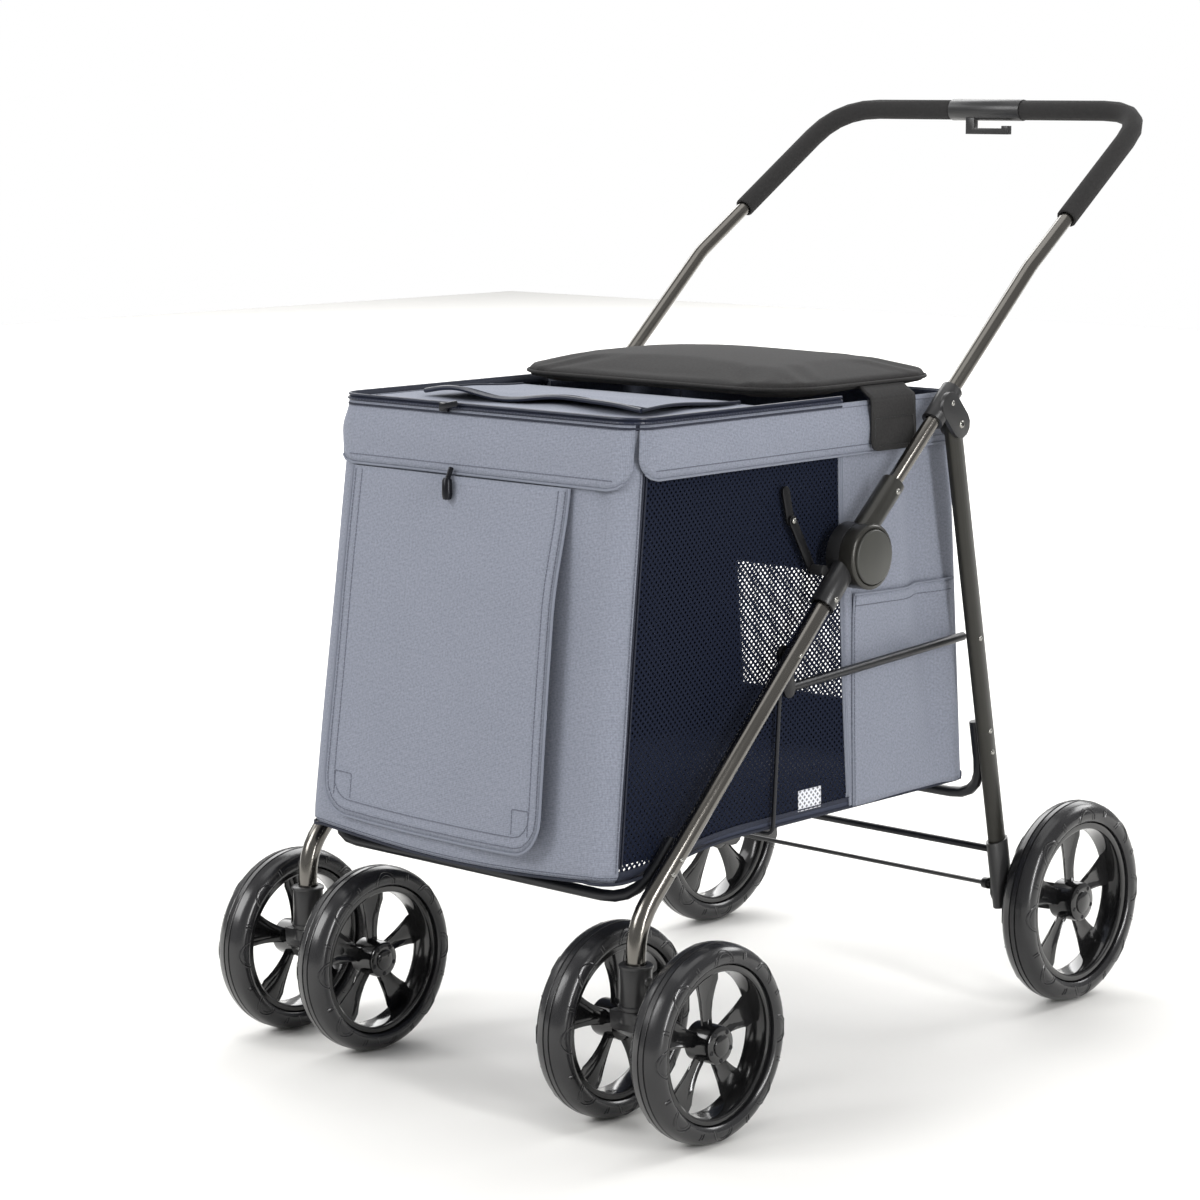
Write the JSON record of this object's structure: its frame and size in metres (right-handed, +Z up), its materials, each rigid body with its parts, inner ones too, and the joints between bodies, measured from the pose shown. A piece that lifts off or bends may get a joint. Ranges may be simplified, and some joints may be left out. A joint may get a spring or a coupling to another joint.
{
  "type": "pet stroller",
  "caption": "Folding pet stroller: tube frame, soft cabin with net sides, padded U handle, swivelling twin front casters and a linked rear brake.",
  "frame": {"origin": "on the floor under the middle of the overall box", "axes": "+Z up, the front (the casters and the door) towards -Y, the left side of the stroller towards +X"},
  "size_m": [0.63, 0.954, 0.9962],
  "materials": {
    "gunmetal": "smooth gunmetal lacquer on tube",
    "dark_tube": "dark satin powder coat on tube",
    "olive": "matte dark olive powder coat",
    "plastic": "moulded matte plastic",
    "cap": "moulded satin plastic",
    "foam": "closed-cell foam, matte",
    "tyre": "moulded tyre, semi gloss",
    "rim": "glossy black moulding",
    "cloth": "grey-blue woven cloth",
    "mesh": "open navy-black net",
    "black_cloth": "charcoal woven cloth",
    "steel": "dark zinc-plated steel"
  },
  "bodies": {
    "front_frame": {"front_leg_left": "gunmetal", "hub_lower_left": "cap", "caster_sleeve_left": "plastic", "front_leg_right": "gunmetal", "hub_lower_right": "cap", "caster_sleeve_right": "plastic", "front_cross_tube": "gunmetal"},
    "handle": {"handle_tube": "gunmetal", "handle_clip": "plastic", "hub_upper_left": "cap", "grip_left": "foam", "pivot_bracket_left": "olive", "hub_upper_right": "cap", "grip_right": "foam", "pivot_bracket_right": "olive"},
    "rear_frame": {"rear_leg_left": "olive", "rear_housing_left": "plastic", "rear_leg_right": "olive", "rear_housing_right": "plastic", "rear_cross_tube": "dark_tube", "rear_axle_bar": "dark_tube"},
    "brake": {"brake_bar": "dark_tube"},
    "side_links": {"side_bar_left": "dark_tube", "side_bar_right": "dark_tube"},
    "wire": {"hanger_wire": "steel"},
    "cabin_links": {"cabin_link_left": "steel", "cabin_link_right": "steel"},
    "cabin_strips": {"cabin_strip_left": "steel", "cabin_strip_right": "steel"},
    "cabin": {"cabin_floor": "cloth", "front_panel": "cloth", "back_panel": "cloth", "side_mesh_left": "mesh", "side_rear_left": "cloth", "side_mesh_right": "mesh", "side_rear_right": "cloth"},
    "rim": {"rim_band": "cloth", "side_tab_left": "black_cloth", "side_tab_right": "black_cloth"},
    "lid": {"top_lid": "cloth"},
    "cover": {"top_cover": "black_cloth"},
    "flap": {"front_flap": "cloth"},
    "hub_button_left": {"hub_button_left": "cap"},
    "caster_left": {"caster_fork_left": "plastic"},
    "front_outer_left": {"front_outer_left_tyre": "tyre", "front_outer_left_rim": "rim"},
    "front_inner_left": {"front_inner_left_tyre": "tyre", "front_inner_left_rim": "rim"},
    "rear_wheel_left": {"rear_left_tyre": "tyre", "rear_left_rim": "rim"},
    "hub_button_right": {"hub_button_right": "cap"},
    "caster_right": {"caster_fork_right": "plastic"},
    "front_outer_right": {"front_outer_right_tyre": "tyre", "front_outer_right_rim": "rim"},
    "front_inner_right": {"front_inner_right_tyre": "tyre", "front_inner_right_rim": "rim"},
    "rear_wheel_right": {"rear_right_tyre": "tyre", "rear_right_rim": "rim"}
  },
  "joints": [
    {"name": "fold", "type": "hinge", "parent": "front_frame", "child": "handle", "pos_m": [0, -0.0715, 0.536], "axis": [-1, 0, 0], "range_deg": [0, 157]},
    {"name": "rear_fold", "type": "hinge", "parent": "handle", "child": "rear_frame", "pos_m": [0, 0.0855, 0.66], "axis": [1, 0, 0], "range_deg": [0, 116]},
    {"name": "side_link_fold", "type": "hinge", "parent": "front_frame", "child": "side_links", "pos_m": [0, -0.17728, 0.44573], "axis": [-1, 0, 0], "range_deg": [0, 106.7]},
    {"name": "wire_fold", "type": "hinge", "parent": "side_links", "child": "wire", "pos_m": [0, -0.1685, 0.408], "axis": [1, 0, 0], "range_deg": [0, 54.5]},
    {"name": "cabin_fold", "type": "hinge", "parent": "front_frame", "child": "cabin", "pos_m": [0, -0.1045, 0.438], "axis": [-1, 0, 0], "range_deg": [0, 115]},
    {"name": "rim_collapse", "type": "slide", "parent": "cabin", "child": "rim", "axis": [0, 0, -1], "range_m": [0, 0.24], "deforming": ["front_panel", "back_panel", "side_mesh_left", "side_mesh_right", "side_rear_left", "side_rear_right", "front_flap"]},
    {"name": "cabin_link_fold", "type": "hinge", "parent": "front_frame", "child": "cabin_links", "pos_m": [0, -0.1205, 0.525], "axis": [1, 0, 0], "range_deg": [0, 8]},
    {"name": "cabin_strip_fold", "type": "hinge", "parent": "cabin_links", "child": "cabin_strips", "pos_m": [0, -0.152, 0.5777], "axis": [-1, 0, 0], "range_deg": [0, 120]},
    {"name": "lid_opening", "type": "hinge", "parent": "rim", "child": "lid", "pos_m": [0, -0.1635, 0.6923], "axis": [1, 0, 0], "range_deg": [-100, 0]},
    {"name": "cover_opening", "type": "hinge", "parent": "rim", "child": "cover", "pos_m": [0, 0.1285, 0.699], "axis": [1, 0, 0], "range_deg": [-90, 0]},
    {"name": "flap_opening", "type": "hinge", "parent": "rim", "child": "flap", "pos_m": [0, -0.39299, 0.6295], "axis": [1, 0, 0], "range_deg": [-100, 0]},
    {"name": "brake_press", "type": "hinge", "parent": "rear_frame", "child": "brake", "pos_m": [0, 0.1845, 0.142], "axis": [-1, 0, 0], "range_deg": [0, 9]},
    {"name": "button_left", "type": "slide", "parent": "handle", "child": "hub_button_left", "axis": [-1, 0, 0], "range_m": [0, 0.003], "stiffness_N_per_m": 900},
    {"name": "caster_swivel_left", "type": "hinge", "parent": "front_frame", "child": "caster_left", "pos_m": [0.2335, -0.4145, 0.11], "axis": [0, 0, 1], "continuous": true},
    {"name": "front_outer_left_spin", "type": "hinge", "parent": "caster_left", "child": "front_outer_left", "pos_m": [0.295, -0.3781, 0.0989], "axis": [1, 0, 0], "continuous": true},
    {"name": "front_inner_left_spin", "type": "hinge", "parent": "caster_left", "child": "front_inner_left", "pos_m": [0.172, -0.3781, 0.0989], "axis": [1, 0, 0], "continuous": true},
    {"name": "rear_left_spin", "type": "hinge", "parent": "rear_frame", "child": "rear_wheel_left", "pos_m": [0.2635, 0.2815, 0.1126], "axis": [1, 0, 0], "continuous": true},
    {"name": "button_right", "type": "slide", "parent": "handle", "child": "hub_button_right", "axis": [1, 0, 0], "range_m": [0, 0.003], "stiffness_N_per_m": 900},
    {"name": "caster_swivel_right", "type": "hinge", "parent": "front_frame", "child": "caster_right", "pos_m": [-0.2335, -0.4145, 0.11], "axis": [0, 0, 1], "continuous": true},
    {"name": "front_outer_right_spin", "type": "hinge", "parent": "caster_right", "child": "front_outer_right", "pos_m": [-0.295, -0.3781, 0.0989], "axis": [1, 0, 0], "continuous": true},
    {"name": "front_inner_right_spin", "type": "hinge", "parent": "caster_right", "child": "front_inner_right", "pos_m": [-0.172, -0.3781, 0.0989], "axis": [1, 0, 0], "continuous": true},
    {"name": "rear_right_spin", "type": "hinge", "parent": "rear_frame", "child": "rear_wheel_right", "pos_m": [-0.2635, 0.2815, 0.1126], "axis": [1, 0, 0], "continuous": true}
  ],
  "couplings": [
    {"joint": "rear_fold", "follows": "fold", "ratio": 0.73885},
    {"joint": "side_link_fold", "follows": "fold", "ratio": 0.67961},
    {"joint": "wire_fold", "follows": "fold", "ratio": 0.34713},
    {"joint": "cabin_fold", "follows": "fold", "ratio": 0.73248},
    {"joint": "rim_collapse", "follows": "fold", "m_per_rad": 0.08758},
    {"joint": "cabin_link_fold", "follows": "fold", "ratio": 0.05095},
    {"joint": "cabin_strip_fold", "follows": "fold", "ratio": 0.76433}
  ]
}
